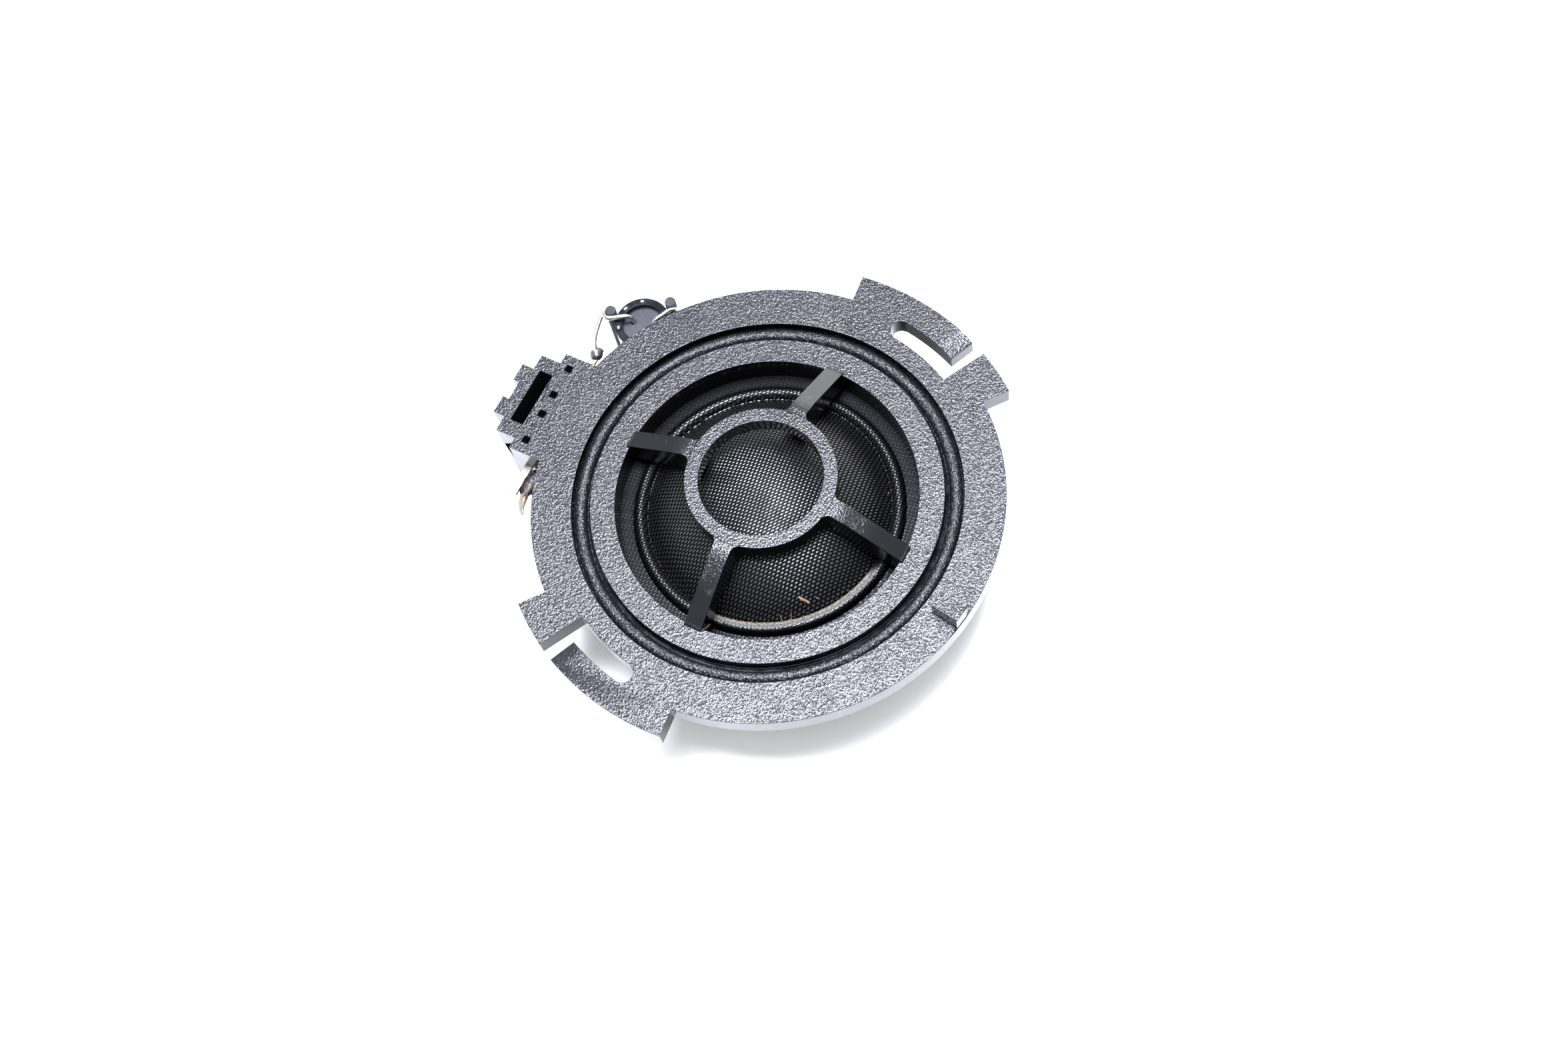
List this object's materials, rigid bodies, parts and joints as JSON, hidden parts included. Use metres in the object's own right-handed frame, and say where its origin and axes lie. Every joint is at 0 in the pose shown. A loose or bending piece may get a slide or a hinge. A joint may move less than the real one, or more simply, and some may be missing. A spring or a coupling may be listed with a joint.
{
  "type": "car tweeter",
  "caption": "Soft-dome car tweeter in a round bayonet flange, with guard ring and spokes, side plug socket and a series capacitor.",
  "frame": {"origin": "speaker axis at the flange's back face, where the rear spigot starts", "axes": "+Z along the speaker axis, the way the dome fires; -X towards the plug socket"},
  "size_m": [0.0568, 0.056, 0.0197],
  "materials": {
    "grained_plastic": "fine spark-eroded grain, satin",
    "plain_plastic": "smooth moulded, satin",
    "coated_weave": "fine plain weave under a clear damping coat",
    "polyimide_film": "thin amber film",
    "enamelled_copper": "enamelled copper wire",
    "black_felt": "pressed felt",
    "plated_steel": "zinc plated, turned",
    "nickel_plated_magnet": "nickel plated",
    "tinned_brass": "tinned brass",
    "bare_aluminium": "drawn aluminium",
    "rubber_bung": "moulded rubber",
    "shrink_sleeve": "heat-shrunk film with plain pale marks",
    "tinned_wire": "tinned copper-clad wire",
    "solder": "tin solder with a trace of flux"
  },
  "bodies": {
    "root": {"front_frame": "grained_plastic", "surround": "coated_weave", "clamp_ring": "plain_plastic", "damping_felt": "black_felt", "pole_plate": "plated_steel", "magnet": "nickel_plated_magnet", "pole_cup": "plated_steel", "rear_carrier": "plain_plastic", "terminal_1": "tinned_brass", "terminal_2": "tinned_brass", "capacitor_can": "bare_aluminium", "capacitor_bung": "rubber_bung", "capacitor_sleeve": "shrink_sleeve", "capacitor_lead_1": "tinned_wire", "capacitor_lead_2": "tinned_wire", "lead_out_wire_1": "enamelled_copper", "lead_out_wire_2": "enamelled_copper", "solder_joint_1": "solder", "solder_joint_2": "solder", "solder_joint_3": "solder"},
    "diaphragm": {"dome": "coated_weave", "coil_former": "polyimide_film", "coil_winding": "enamelled_copper"}
  },
  "joints": [
    {"name": "dome_travel", "type": "slide", "parent": "root", "child": "diaphragm", "axis": [0, 0, 1], "range_m": [-0.0004, 0.0004], "stiffness_N_per_m": 50, "deforming": ["surround"]}
  ]
}
